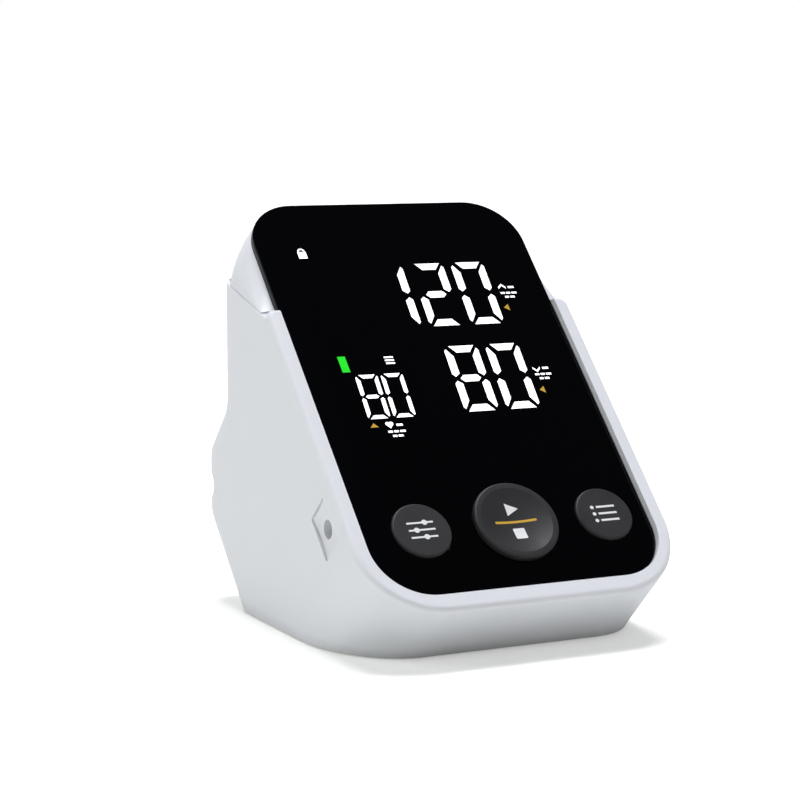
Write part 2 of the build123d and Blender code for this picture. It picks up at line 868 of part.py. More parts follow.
def make_base_cover():
    cover = block(-far, far, -far, far, ground_gap, base_top) & base_core(gap)
    outer = well_half + well_wall
    cover = cover + block(-outer, outer, well_front - well_wall, well_rear + well_wall,
                          door_cut_top, tray_z)
    for x, y in tray_posts:
        cover = cover + z_rod(tray_post_radius, base_top - 1, tray_z, x, y)
    cover = cover - block(-well_half, well_half, well_front, well_rear, tongue_top, well_top)
    side = door_half + gap
    front = door_front - gap
    cover = cover - block(-side, side, front, far, -past, door_cut_top)
    tongue = side + door_tongue
    cover = cover - block(-tongue, tongue, front, far, tongue_top - tongue_thickness - gap, door_cut_top)
    for x, y in tray_posts:
        cover = cover - z_rod(small_pilot, tray_z - tray_pilot_depth, tray_z + past, x, y)
    for x, y in corner_bosses:
        cover = cover - z_rod(large_clearance, -past, far, x, y)
        cover = cover - z_rod(sink_radius, -past, ground_gap + base_sink, x, y)
    for x, y in (front_foot, rear_foot):
        cover = cover - mirrored(z_rod(foot_radius + foot_gap, -past, ground_gap + foot_recess, x, y))
    return cover


def make_battery_door():
    tongue = door_half + door_tongue
    door = block(-door_half, door_half, door_front, far, ground_gap, tongue_top)
    door = door + block(-tongue, tongue, door_front, well_rear, tongue_top - tongue_thickness, tongue_top)
    door = door + block(-tongue, tongue, door_lip_y, far, ground_gap, tongue_top)
    door = door & casing_profile(0.1, ground_gap)
    for y in grip_stations:
        door = door - block(-grip_half, grip_half, y, y + grip_width, 0, ground_gap + grip_depth)
    return door


def make_feet():
    group = Part()
    for x, y in (front_foot, rear_foot):
        pad = z_rod(foot_radius, 0, ground_gap + foot_recess, x, y)
        pad = fillet(pad.edges().sort_by(Axis.Z)[0], foot_edge)
        group = group + mirrored(pad)
    return group


def make_base_screws():
    group = Part()
    head = ground_gap + base_sink
    low = head - base_head_height
    for x, y in corner_bosses:
        screw = z_rod(base_screw, head - 0.1, base_top + base_screw_reach, x, y)
        screw = screw + z_rod(base_head, low, head, x, y)
        group = group + (screw - block(x - 1.9, x + 1.9, y - 0.4, y + 0.4, 0, low + 0.7))
    return group


def make_cells():
    group = Part()
    for row, x in enumerate(cell_rows):
        way = 1 if row % 2 == 0 else -1
        nub = (well_rear - 0.5) if way > 0 else (well_front + 0.5)
        shoulder = nub - way
        body = y_rod(cell_radius, shoulder, nub - way * cell_length, x, cell_z)
        body = chamfer(body.edges().filter_by(GeomType.CIRCLE), cell_edge)
        group = group + (body + y_rod(cell_nub, nub, nub - way * cell_nub_length, x, cell_z))
    return group


def make_contacts():
    group = Part()
    for x in cell_rows:
        for face, way in ((well_front, 1), (well_rear, -1)):
            plate = block(x - contact_half, x + contact_half, face, face + way * contact_thickness,
                          cell_z - contact_reach, cell_z + contact_reach)
            group = group + plate
    return group


def make_springs():
    group = Part()
    space = well_spare - 1.9
    for row, x in enumerate(cell_rows):
        way = 1 if row % 2 == 0 else -1
        plate = (well_front + 0.5) if way > 0 else (well_rear - 0.5)
        coil = Helix(spring_pitch, space, spring_radius)
        section = Plane(origin=coil @ 0, z_dir=coil % 0) * Circle(spring_wire)
        wire = sweep(section, path=coil)
        group = group + Pos(x, plate + way * contact_thickness, cell_z) * Rot(-90 * way, 0, 0) * wire
    return group


# ---- air parts -----------------------------------------------------------
def make_tray():
    tray = block(-tray_half, tray_half, tray_front, tray_rear, tray_z, tray_top)
    for x, y in tray_posts:
        tray = tray - z_rod(small_clearance, tray_z - past, tray_top + past, x, y)
    for y in strap_ears:
        tray = tray - z_rod(0.9, tray_z - past, tray_top + past, strap_x, y)
    return tray


def make_tray_screws():
    group = Part()
    for x, y in tray_posts:
        screw = z_rod(small_screw, tray_z - tray_pilot_depth + 0.5, tray_top + 0.1, x, y)
        screw = screw + z_rod(small_head, tray_top, tray_top + tray_head, x, y)
        slot = block(x - 1.7, x + 1.7, y - slot_width / 2, y + slot_width / 2,
                     tray_top + tray_head - 0.6, tray_top + tray_head + past)
        group = group + (screw - slot)
    top = tray_top + ear_thickness
    for y in strap_ears:
        screw = z_rod(0.85, tray_z, top + 0.1, strap_x, y)
        group = group + (screw + z_rod(2.2, top, top + 1.4, strap_x, y))
    return group


def make_foam():
    foam = block(head_end + foam_inset, motor_end - foam_inset, pump_y - foam_half, pump_y + foam_half,
                 tray_top, air_z - foam_top)
    return foam - x_rod(pump_radius, -far, far, pump_y, air_z)


def make_strap():
    """Sheet strap over the motor with an ear at each foot."""
    left = strap_x - strap_half
    right = strap_x + strap_half
    inner = pump_radius + 0.05
    outer = inner + strap_thickness
    ring = x_rod(outer, left, right, pump_y, air_z)
    ring = ring + block(left, right, pump_y - outer, pump_y + outer, tray_top, air_z)
    ring = ring - x_rod(inner, left - past, right + past, pump_y, air_z)
    for y in strap_ears:
        away = ear_outer if y > pump_y else ear_inner
        ring = ring + block(left, right, y - ear_inner, y + away, tray_top, tray_top + ear_thickness)
        ring = ring - z_rod(1.0, tray_top - past, tray_top + 3, strap_x, y)
    return ring - block(left - past, right + past, pump_y - inner, pump_y + inner, 0, air_z)


def make_motor_can():
    can = x_rod(pump_radius, pump_x, can_end, pump_y, air_z)
    can = can - x_rod(pump_radius - can_wall, pump_x + can_floor, can_end + past, pump_y, air_z)
    return can - x_rod(shaft_radius + running_gap, pump_x - past, pump_x + 3, pump_y, air_z)


def make_motor_cap():
    cap = x_rod(pump_radius, can_end, can_end + cap_length, pump_y, air_z)
    cap = cap + x_rod(cap_boss, can_end, motor_end, pump_y, air_z)
    cap = cap - x_rod(shaft_radius + running_gap, can_end - past, can_end + 2.5, pump_y, air_z)
    for y in (pump_y - tag_y, pump_y + tag_y):
        cap = cap + block(can_end + 2, can_end + tag_reach, y - tag_half, y + tag_half,
                          air_z - tag_thickness / 2, air_z + tag_thickness / 2)
    return cap


def make_armature():
    """Laminated rotor with winding slots."""
    end = rotor_x + rotor_length
    rotor = x_rod(rotor_radius, rotor_x, end, pump_y, air_z)
    for index in range(rotor_slots):
        turn = radians(360 / rotor_slots * index)
        y = pump_y + rotor_radius * cos(turn)
        z = air_z + rotor_radius * sin(turn)
        rotor = rotor - x_rod(rotor_slot, rotor_x - past, end + past, y, z)
    return rotor - x_rod(shaft_radius, rotor_x - past, end + past, pump_y, air_z)


def make_shaft():
    return x_rod(shaft_radius, pump_x - shaft_ahead, motor_end - 2, pump_y, air_z)


def make_eccentric():
    end = pump_x - eccentric_end
    disc = x_rod(eccentric_radius, end - eccentric_width, end, pump_y, air_z + eccentric_throw)
    return disc - x_rod(shaft_radius, -far, far, pump_y, air_z)


def make_pump_head():
    head = x_rod(pump_radius, head_end, pump_x, pump_y, air_z)
    head = head - x_rod(head_bore, head_end + head_floor, pump_x + past, pump_y, air_z)
    head = head + x_rod(barb, head_end - barb_length, head_end + past, pump_y, air_z)
    return head - x_rod(air_bore, head_end - 6, head_end + 10, pump_y, air_z)


def make_diaphragm():
    low = head_end + head_floor
    disc = x_rod(head_bore - 0.1, low, low + diaphragm_thickness, pump_y, air_z)
    return disc - x_rod(air_bore, head_end, pump_x, pump_y, air_z)


def make_manifold():
    half = manifold_half
    x = manifold_x
    y = manifold_y
    top = air_z + half + manifold_cap
    body = block(x - half, x + half, y - half, y + half, tray_top, top)
    body = body + y_rod(barb, y - half - barb_length, y + half + barb_length, x, air_z)
    body = body + x_rod(barb, x, x + half + barb_length, y, air_z)
    body = body + z_rod(barb, air_z, top + barb_length, x, y)
    body = body - y_rod(air_bore, y - 20, y + 20, x, air_z)
    body = body - x_rod(air_bore, x, x + 20, y, air_z)
    return body - z_rod(air_bore, air_z, air_z + 20, x, y)


def make_valve_frame():
    low = tray_top + valve_sheet
    high = tray_top + valve_height - valve_sheet
    inside = valve_half - valve_sheet
    frame = block(valve_x - valve_half, valve_x + valve_half, manifold_y - valve_half_depth,
                  manifold_y + valve_half_depth, tray_top, tray_top + valve_height)
    frame = frame - block(valve_x - inside, valve_x + inside, -far, far, low, high)
    return frame - z_rod(core_hole, low + 3, high + 3, valve_x, manifold_y)


def make_valve_coil():
    low = tray_top + valve_sheet + coil_gap
    high = tray_top + valve_height - valve_sheet - coil_gap
    coil = z_rod(coil_radius, low, high, valve_x, manifold_y)
    return coil - z_rod(coil_bore, low + coil_floor, high + past, valve_x, manifold_y)


def make_valve_head():
    low = tray_top + valve_height
    end = valve_x - valve_half_depth
    head = z_rod(coil_radius, low, air_z + valve_head_top, valve_x, manifold_y)
    head = head - z_rod(valve_chamber, low - past, air_z + valve_chamber_top, valve_x, manifold_y)
    head = head + x_rod(barb, end - barb_length, end + past, manifold_y, air_z)
    return head - x_rod(air_bore, end - 2 * barb_length, end + 2, manifold_y, air_z)


def make_valve_plunger():
    high = air_z + core_high
    plunger = z_rod(core_radius, tray_top + core_low, high, valve_x, manifold_y)
    return plunger + z_rod(core_tip_radius, high, high + core_tip, valve_x, manifold_y)


def tube(path):
    """A hose along a path."""
    start = Plane(origin=path @ 0, z_dir=path % 0)
    outer = sweep(start * Circle(hose_radius), path=path)
    return outer - sweep(start * Circle(hose_bore), path=path)


def make_hoses():
    x = manifold_x
    y = manifold_y
    end = manifold_half + hose_gap
    parts["hose_pump"] = tube(FilletPolyline(
        (head_end - hose_gap, pump_y, air_z), (x, pump_y, air_z), (x, y + end, air_z), radius=pump_bend))
    valve_end = valve_x - coil_radius - hose_gap
    parts["hose_valve"] = tube(Line((x + end, y, air_z), (valve_end, y, air_z)))
    parts["hose_socket"] = tube(Line((x, port_y + elbow_reach + 0.2, air_z), (x, y - end, air_z)))
    sensor_end = slope_point(x, sensor_s, board_back + sensor_height + hose_gap)
    parts["hose_sensor"] = tube(FilletPolyline(
        (x, y, air_z + end + manifold_cap), (x, y, sensor_turn_z), sensor_end, radius=sensor_bend))


def make_sensor():
    body = slab(sensor_size, sensor_size, manifold_x, sensor_s, board_back, sensor_height)
    body = body + post(barb, manifold_x, sensor_s, board_back + sensor_height - 1, 1 + barb_length)
    return on_slope(body - post(air_bore, manifold_x, sensor_s, board_back + 2, 9))


def make_air_socket():
    """Framed insert with a dished face, a round mouth and an elbow behind it."""
    face_x = socket_inset - case_half
    inner_x = wall + gap - case_half
    mouth = face_x + dish_depth
    end = mouth + socket_depth
    boss_end = end + socket_floor
    x = manifold_x
    place = Plane(origin=(face_x, port_y, air_z), x_dir=(0, lean_sin, -lean_cos), z_dir=(-1, 0, 0))
    plate = RectangleRounded(port_recess_d - 2 * gap, port_recess_s - 2 * gap, port_corner - gap)
    body = place.location * extrude(plate, amount=face_x - inner_x - 1.0)
    reach = 2 * socket_flange
    flange = RectangleRounded(port_recess_d + reach, port_recess_s + reach, port_corner)
    flange = place.location * Pos(0, 0, face_x - inner_x) * extrude(flange, amount=-socket_flange_thickness)
    body = body + (flange & base_core(0.1))
    body = body - Pos(mouth - dish_radius, port_y, air_z) * Sphere(dish_radius)
    body = body + x_rod(socket_bore + socket_wall, inner_x, boss_end, port_y, air_z)
    body = body + x_rod(elbow_radius, boss_end - 0.5, x, port_y, air_z)
    body = body + Pos(x, port_y, air_z) * Sphere(elbow_radius)
    body = body + y_rod(elbow_radius, port_y, port_y + elbow_reach, x, air_z)
    body = body + y_rod(barb, port_y, port_y + elbow_reach + barb_length, x, air_z)
    body = body - x_rod(socket_bore, -far, end, port_y, air_z)
    body = body - x_rod(air_bore, end - 1, x, port_y, air_z)
    return body - y_rod(air_bore, port_y, port_y + 20, x, air_z)


def make_power_socket():
    face = back_y - 0.2
    inside = back_y - wall - 0.1
    body = y_rod(jack_radius, face, back_y - jack_depth, jack_x, jack_z)
    body = body + y_rod(jack_radius + jack_flange, inside, inside - jack_flange_thickness, jack_x, jack_z)
    return body - y_rod(jack_bore, face + past, back_y - jack_depth + jack_floor, jack_x, jack_z)


def make_jack_pin():
    root = back_y - jack_depth + jack_floor
    return y_rod(jack_pin_radius, root, back_y - jack_pin_inset, jack_x, jack_z)


# ---- all the pieces ------------------------------------------------------
parts["lower_housing"] = make_lower_housing()
parts["upper_housing"] = make_upper_housing()
parts["white_figures"] = inlays(white_faces())
parts["green_bar"] = inlays([rectangle(*green_bar)])
parts["amber_arrows"] = inlays(arrow_faces())
figures = parts["white_figures"] + parts["green_bar"] + parts["amber_arrows"]
parts["front_panel"] = make_front_panel(figures)
set_cap = button_cap(small_button_radius, set_x, small_button_proud, 0)
split_button("set", set_cap, slider_icon(), set_x)
memory_cap = button_cap(small_button_radius, memory_x, small_button_proud, 0)
split_button("memory", memory_cap, list_icon(), memory_x)
start_cap = button_cap(start_button_radius, start_x, start_button_proud, start_dish)
line_tool = icon_tool([RectangleRounded(*start_line, 0.4)], start_x)
parts["start_light"] = on_slope(start_cap & line_tool)
split_button("start", start_cap - line_tool, start_icon(), start_x)
parts["tact_switches"] = make_switches()
parts["display_module"] = make_display()
parts["main_board"] = make_board()
parts["board_chips"] = make_chips()
parts["board_screws"] = make_board_screws()
parts["plate_screws"] = make_plate_screws()
parts["base_cover"] = make_base_cover()
parts["battery_door"] = make_battery_door()
parts["rubber_feet"] = make_feet()
parts["base_screws"] = make_base_screws()
parts["battery_cells"] = make_cells()
parts["battery_contacts"] = make_contacts()
parts["battery_springs"] = make_springs()
parts["component_tray"] = make_tray()
parts["tray_screws"] = make_tray_screws()
parts["pump_foam"] = make_foam()
parts["pump_strap"] = make_strap()
parts["motor_can"] = make_motor_can()
parts["motor_end_cap"] = make_motor_cap()
parts["motor_armature"] = make_armature()
parts["motor_shaft"] = make_shaft()
parts["pump_eccentric"] = make_eccentric()
parts["pump_head"] = make_pump_head()
parts["pump_diaphragm"] = make_diaphragm()
parts["air_manifold"] = make_manifold()
parts["valve_frame"] = make_valve_frame()
parts["valve_coil"] = make_valve_coil()
parts["valve_head"] = make_valve_head()
parts["valve_plunger"] = make_valve_plunger()
make_hoses()
parts["pressure_sensor"] = make_sensor()
parts["air_socket"] = make_air_socket()
parts["power_socket"] = make_power_socket()
parts["jack_pin"] = make_jack_pin()

os.makedirs("parts", exist_ok=True)
for name, shape in parts.items():
    shape.label = name
    export_step(shape, f"parts/{name}.step")
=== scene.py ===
from math import cos, pi, radians, sin
import bpy
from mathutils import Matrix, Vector


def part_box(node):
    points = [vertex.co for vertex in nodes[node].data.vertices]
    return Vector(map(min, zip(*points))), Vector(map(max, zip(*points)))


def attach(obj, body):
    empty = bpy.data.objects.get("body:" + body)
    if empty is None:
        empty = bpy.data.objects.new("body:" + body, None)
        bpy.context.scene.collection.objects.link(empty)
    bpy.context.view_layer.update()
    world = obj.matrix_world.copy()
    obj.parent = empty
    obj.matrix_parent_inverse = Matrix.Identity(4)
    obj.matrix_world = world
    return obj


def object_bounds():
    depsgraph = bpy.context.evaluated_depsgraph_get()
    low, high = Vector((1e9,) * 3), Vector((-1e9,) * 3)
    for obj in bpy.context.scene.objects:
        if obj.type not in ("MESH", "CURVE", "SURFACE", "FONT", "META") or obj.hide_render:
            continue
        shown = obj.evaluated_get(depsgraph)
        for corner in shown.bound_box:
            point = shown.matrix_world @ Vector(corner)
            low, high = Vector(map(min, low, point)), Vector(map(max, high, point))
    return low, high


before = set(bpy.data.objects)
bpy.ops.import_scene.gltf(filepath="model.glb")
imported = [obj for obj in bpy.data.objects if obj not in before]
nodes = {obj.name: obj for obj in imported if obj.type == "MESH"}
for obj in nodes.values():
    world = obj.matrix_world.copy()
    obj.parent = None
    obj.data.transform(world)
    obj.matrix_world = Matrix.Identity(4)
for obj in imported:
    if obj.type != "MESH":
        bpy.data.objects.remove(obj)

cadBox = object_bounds()
print("frame loaded:", len(nodes), "nodes")

# camera, lights and floor
view = {
    "place": (-0.33629, -0.64597, 0.16429),
    "towards": (0.44268, 0.88772, -0.12641),
    "lens": 102.14,
    "sensor": 36.0,
}
cameraData = bpy.data.cameras.new("viewCamera")
cameraData.lens = view["lens"]
cameraData.sensor_width = view["sensor"]
cameraData.clip_start = 0.01
cameraData.clip_end = 50.0
camera = bpy.data.objects.new("viewCamera", cameraData)
camera.location = view["place"]
camera.rotation_euler = Vector(view["towards"]).to_track_quat("-Z", "Y").to_euler()
bpy.context.scene.collection.objects.link(camera)
bpy.context.scene.camera = camera
bpy.context.scene.view_settings.view_transform = "Standard"

studio = {
    "suns": {
        # name: direction it shines from, strength, width in degrees, colour
        "topSoftbox": ((0.10, 0.14, 0.98), 2.85, 24.0, (0.94, 0.94, 1.0)),
        "leftWindow": ((-0.75, 0.15, 0.62), 0.55, 35.0, (0.97, 1.0, 0.97)),
    },
    "skySeen": (1.0, 1.0, 1.0),
    "skyLow": (0.75, 0.755, 0.745), "skyHigh": (0.075, 0.080, 0.105),
    "skyFront": 0.72,  # how much of the sky's light is left towards the viewer
    "frontFrom": -0.9, "frontTo": 0.3,  # depth on the sky over which that share grows to one
    "skyFrom": 0.15, "skyTo": 0.80,  # height on the sky where it starts and stops to darken
}


def addSun(name, direction, strength, width, colour):
    data = bpy.data.lights.new(name, "SUN")
    data.energy = strength
    data.angle = radians(width)
    data.color = colour
    lamp = bpy.data.objects.new(name, data)
    lamp.rotation_euler = Vector(direction).to_track_quat("Z", "Y").to_euler()
    bpy.context.scene.collection.objects.link(lamp)


for sunName, settings in studio["suns"].items():
    addSun(sunName, *settings)

world = bpy.data.worlds.new("studioSky")
bpy.context.scene.world = world
world.use_nodes = True
skyTree = world.node_tree
skyTree.nodes.clear()
skyOut = skyTree.nodes.new("ShaderNodeOutputWorld")
skyMix = skyTree.nodes.new("ShaderNodeMixShader")
skyPath = skyTree.nodes.new("ShaderNodeLightPath")
skyLit = skyTree.nodes.new("ShaderNodeBackground")
skySeen = skyTree.nodes.new("ShaderNodeBackground")
skyPlace = skyTree.nodes.new("ShaderNodeTexCoord")
skySplit = skyTree.nodes.new("ShaderNodeSeparateXYZ")
skyRise = skyTree.nodes.new("ShaderNodeMapRange")
skyBlend = skyTree.nodes.new("ShaderNodeMix")
skyRise.interpolation_type = "SMOOTHSTEP"
skyRise.inputs["From Min"].default_value = studio["skyFrom"]
skyRise.inputs["From Max"].default_value = studio["skyTo"]
skyDepth = skyTree.nodes.new("ShaderNodeMapRange")
skyDepth.inputs["From Min"].default_value = studio["frontFrom"]
skyDepth.inputs["From Max"].default_value = studio["frontTo"]
skyDepth.inputs["To Min"].default_value = studio["skyFront"]
skyBlend.data_type = "RGBA"
skyBlend.inputs[6].default_value = (*studio["skyLow"], 1)
skyBlend.inputs[7].default_value = (*studio["skyHigh"], 1)
skySeen.inputs["Color"].default_value = (*studio["skySeen"], 1)
skyTree.links.new(skyPlace.outputs["Generated"], skySplit.inputs[0])
skyTree.links.new(skySplit.outputs["Z"], skyRise.inputs["Value"])
skyTree.links.new(skyRise.outputs["Result"], skyBlend.inputs["Factor"])
skyTree.links.new(skyBlend.outputs[2], skyLit.inputs["Color"])
skyTree.links.new(skySplit.outputs["Y"], skyDepth.inputs["Value"])
skyTree.links.new(skyDepth.outputs["Result"], skyLit.inputs["Strength"])
skyTree.links.new(skyPath.outputs["Is Camera Ray"], skyMix.inputs["Fac"])
skyTree.links.new(skyLit.outputs[0], skyMix.inputs[1])
skyTree.links.new(skySeen.outputs[0], skyMix.inputs[2])
skyTree.links.new(skyMix.outputs[0], skyOut.inputs["Surface"])
print("camera, lights and sky ready")

# surface effects that several finishes share


# empty effect with named number inputs and named outputs
def startGroup(name, inputs, outputs):
    group = bpy.data.node_groups.new(name, "ShaderNodeTree")
    for label, value in inputs:
        socket = group.interface.new_socket(name=label, in_out="INPUT", socket_type="NodeSocketFloat")
        socket.default_value = value
    for label in outputs:
        group.interface.new_socket(name=label, in_out="OUTPUT", socket_type="NodeSocketFloat")
    entry = group.nodes.new("NodeGroupInput")
    leave = group.nodes.new("NodeGroupOutput")
    return group, entry, leave


def addMath(tree, operation, first, second=None, clamp=False):
    node = tree.nodes.new("ShaderNodeMath")
    node.operation = operation
    node.use_clamp = clamp
    for index, value in enumerate((first, second)):
        if value is None:
            continue
        if isinstance(value, (int, float)):
            node.inputs[index].default_value = value
        else:
            tree.links.new(value, node.inputs[index])
    return node.outputs[0]


def addNoise(tree, vector, scale, detail=3.0, rough=0.55):
    node = tree.nodes.new("ShaderNodeTexNoise")
    node.inputs["Detail"].default_value = detail
    node.inputs["Roughness"].default_value = rough
    if isinstance(scale, (int, float)):
        node.inputs["Scale"].default_value = scale
    else:
        tree.links.new(scale, node.inputs["Scale"])
    tree.links.new(vector, node.inputs["Vector"])
    return node.outputs["Fac"]


# spark-etched mould grain: a fine pebble under a slow unevenness
def makeGrain():
    controls = (("Scale", 2600.0), ("Unevenness", 60.0))
    group, entry, leave = startGroup("mouldGrain", controls, ("Height", "Mottle"))
    place = group.nodes.new("ShaderNodeTexCoord")
    fine = addNoise(group, place.outputs["Object"], entry.outputs["Scale"], 2.0)
    pebble = group.nodes.new("ShaderNodeTexVoronoi")
    group.links.new(place.outputs["Object"], pebble.inputs["Vector"])
    group.links.new(entry.outputs["Scale"], pebble.inputs["Scale"])
    height = addMath(group, "ADD", fine, addMath(group, "MULTIPLY", pebble.outputs["Distance"], 0.5))
    slow = addNoise(group, place.outputs["Object"], entry.outputs["Unevenness"], 4.0)
    group.links.new(height, leave.inputs["Height"])
    group.links.new(slow, leave.inputs["Mottle"])
    return group


# marks left by handling: soft patches crossed by fine rubbed lines
def makeTouch():
    group, entry, leave = startGroup("touchMarks", (("Scale", 45.0), ("Cover", 0.5)), ("Mask",))
    place = group.nodes.new("ShaderNodeTexCoord")
    patch = addNoise(group, place.outputs["Object"], entry.outputs["Scale"], 5.0, 0.6)
    lines = group.nodes.new("ShaderNodeTexWave")
    lines.inputs["Scale"].default_value = 700.0
    lines.inputs["Distortion"].default_value = 9.0
    lines.inputs["Detail"].default_value = 2.0
    group.links.new(place.outputs["Object"], lines.inputs["Vector"])
    limit = addMath(group, "SUBTRACT", 1.0, entry.outputs["Cover"])
    above = addMath(group, "MULTIPLY", addMath(group, "SUBTRACT", patch, limit), 6.0, clamp=True)
    faint = addMath(group, "ADD", addMath(group, "MULTIPLY", lines.outputs["Fac"], 0.35), 0.65)
    group.links.new(addMath(group, "MULTIPLY", above, faint), leave.inputs["Mask"])
    return group


# dust that settles low on the object, thinning upwards with a ragged edge
def makeDust():
    group, entry, leave = startGroup("settledDust", (("Top", 0.006), ("Ragged", 0.004)), ("Mask",))
    place = group.nodes.new("ShaderNodeTexCoord")
    split = group.nodes.new("ShaderNodeSeparateXYZ")
    group.links.new(place.outputs["Object"], split.inputs[0])
    noise = addNoise(group, place.outputs["Object"], 180.0, 5.0, 0.65)
    ragged = addMath(group, "MULTIPLY", addMath(group, "SUBTRACT", noise, 0.5), entry.outputs["Ragged"])
    height = addMath(group, "ADD", split.outputs["Z"], ragged)
    share = addMath(group, "DIVIDE", height, entry.outputs["Top"])
    mask = addMath(group, "SUBTRACT", 1.0, share, clamp=True)
    group.links.new(addMath(group, "MULTIPLY", mask, noise), leave.inputs["Mask"])
    return group


# fine parallel scratches along X, and slow cloudiness, for plated metal
def makeBrushing():
    controls = (("Scale", 900.0), ("Stretch", 0.04))
    group, entry, leave = startGroup("metalBrushing", controls, ("Height", "Cloud"))
    place = group.nodes.new("ShaderNodeTexCoord")
    split = group.nodes.new("ShaderNodeSeparateXYZ")
    join = group.nodes.new("ShaderNodeCombineXYZ")
    group.links.new(place.outputs["Object"], split.inputs[0])
    drawnOut = addMath(group, "MULTIPLY", split.outputs["X"], entry.outputs["Stretch"])
    group.links.new(drawnOut, join.inputs["X"])
    group.links.new(split.outputs["Y"], join.inputs["Y"])
    group.links.new(split.outputs["Z"], join.inputs["Z"])
    scratch = addNoise(group, join.outputs[0], entry.outputs["Scale"], 4.0, 0.7)
    cloud = addNoise(group, place.outputs["Object"], 120.0, 3.0)
    group.links.new(scratch, leave.inputs["Height"])
    group.links.new(cloud, leave.inputs["Cloud"])
    return group


grainEffect = makeGrain()
touchEffect = makeTouch()
dustEffect = makeDust()
brushEffect = makeBrushing()
print("shared surface effects ready")


# building a material
# new material with its shader; settings are plain values on the shader's own sockets
def startMaterial(name, **settings):
    material = bpy.data.materials.new(name)
    material.use_nodes = True
    tree = material.node_tree
    tree.nodes.clear()
    out = tree.nodes.new("ShaderNodeOutputMaterial")
    shader = tree.nodes.new("ShaderNodeBsdfPrincipled")
    tree.links.new(shader.outputs[0], out.inputs["Surface"])
    for label, value in settings.items():
        shader.inputs[label.replace("_", " ")].default_value = value
    return material, tree, shader


def useEffect(tree, effect, **values):
    node = tree.nodes.new("ShaderNodeGroup")
    node.node_tree = effect
    for label, value in values.items():
        node.inputs[label].default_value = value
    return node


def mixColour(tree, factor, first, second):
    node = tree.nodes.new("ShaderNodeMix")
    node.data_type = "RGBA"
    tree.links.new(factor, node.inputs["Factor"])
    for socket, value in ((node.inputs[6], first), (node.inputs[7], second)):
        if isinstance(value, tuple):
            socket.default_value = (*value, 1) if len(value) == 3 else value
        else:
            tree.links.new(value, socket)
    return node.outputs[2]


# carries a 0 to 1 value onto a range
def spread(tree, value, low, high):
    node = tree.nodes.new("ShaderNodeMapRange")
    tree.links.new(value, node.inputs["Value"])
    node.inputs["To Min"].default_value = low
    node.inputs["To Max"].default_value = high
    return node.outputs["Result"]


def addBump(tree, shader, height, distance, strength=1.0):
    node = tree.nodes.new("ShaderNodeBump")
    node.inputs["Distance"].default_value = distance
    node.inputs["Strength"].default_value = strength
    tree.links.new(height, node.inputs["Height"])
    tree.links.new(node.outputs["Normal"], shader.inputs["Normal"])
    return node


def objectAxes(tree):
    place = tree.nodes.new("ShaderNodeTexCoord")
    split = tree.nodes.new("ShaderNodeSeparateXYZ")
    tree.links.new(place.outputs["Object"], split.inputs[0])
    return place.outputs["Object"], split.outputs


# moulded plastic: uneven tint, etched grain, handling marks and low dust
def mouldedPlastic(name, finish):
    material, tree, shader = startMaterial(name, IOR=1.49)
    shader.inputs["Specular IOR Level"].default_value = finish.get("shine", 0.4)
    grain = useEffect(tree, grainEffect, Scale=finish["grain"], Unevenness=finish.get("uneven", 60.0))
    touch = useEffect(tree, touchEffect, Scale=finish.get("touch", 45.0), Cover=finish.get("cover", 0.5))
    tint = mixColour(tree, grain.outputs["Mottle"], finish["shade"], finish["colour"])
    if "dust" in finish:
        dust = useEffect(tree, dustEffect, Top=finish["dustTop"])
        tint = mixColour(tree, dust.outputs["Mask"], tint, finish["dust"])
    tree.links.new(tint, shader.inputs["Base Color"])
    rough = spread(tree, grain.outputs["Mottle"], *finish["rough"])
    rubbed = addMath(tree, "MULTIPLY", touch.outputs["Mask"], finish.get("rub", -0.06))
    tree.links.new(addMath(tree, "ADD", rough, rubbed, clamp=True), shader.inputs["Roughness"])
    addBump(tree, shader, grain.outputs["Height"], finish["grainDepth"])
    return material


# plated or turned metal with brushing and cloudy roughness
def platedMetal(name, finish):
    material, tree, shader = startMaterial(name, Metallic=1.0)
    brush = useEffect(tree, brushEffect, Scale=finish["scratch"], Stretch=0.04)
    tint = mixColour(tree, brush.outputs["Cloud"], finish["shade"], finish["colour"])
    tree.links.new(tint, shader.inputs["Base Color"])
    tree.links.new(spread(tree, brush.outputs["Cloud"], *finish["rough"]), shader.inputs["Roughness"])
    addBump(tree, shader, brush.outputs["Height"], finish["depth"])
    return material


# gives CAD nodes their finish
def coat(material, *names):
    for name in names:
        node = nodes[name]
        node.data.materials.clear()
        node.data.materials.append(material)


# casing
casingFinish = {
    "colour": (0.795, 0.808, 0.836), "shade": (0.772, 0.785, 0.814),
    "rough": (0.40, 0.50), "grain": 2600.0, "grainDepth": 0.00001, "uneven": 55.0, "shine": 0.35,
    "dust": (0.60, 0.60, 0.61), "dustTop": 0.004,
}
baseFinish = {
    "colour": (0.72, 0.73, 0.76), "shade": (0.68, 0.69, 0.72),
    "rough": (0.55, 0.66), "grain": 1700.0, "grainDepth": 0.00003,
    "dust": (0.52, 0.51, 0.50), "dustTop": 0.003,
}
portFinish = {
    "colour": (0.78, 0.79, 0.82), "shade": (0.75, 0.76, 0.79),
    "rough": (0.36, 0.46), "grain": 2200.0, "grainDepth": 0.000012,
}
coat(mouldedPlastic("casingPlastic", casingFinish), "lower_housing", "upper_housing")
coat(mouldedPlastic("basePlastic", baseFinish), "base_cover", "battery_door")
coat(mouldedPlastic("portPlastic", portFinish), "air_socket")

# black front panel, with a painted sheen towards its left edge
panelFinish = {
    # the second colour is a painted sheen: the black lightens to it over the last 10 mm towards the panel's
    # left edge
    "black": (0.0006, 0.0006, 0.0007), "paintedSheenBlue": (0.0008, 0.0009, 0.0016),
    "paintedSheenFrom": -0.0500, "paintedSheenTo": -0.0400,
    "rough": (0.05, 0.09), "smear": 0.07,
    "ior": 1.45, "shine": 0.16,
    "touch": 60.0, "cover": 0.46,
    "waveScale": 40.0, "waveDepth": 0.00002, "waveStrength": 0.3,
}


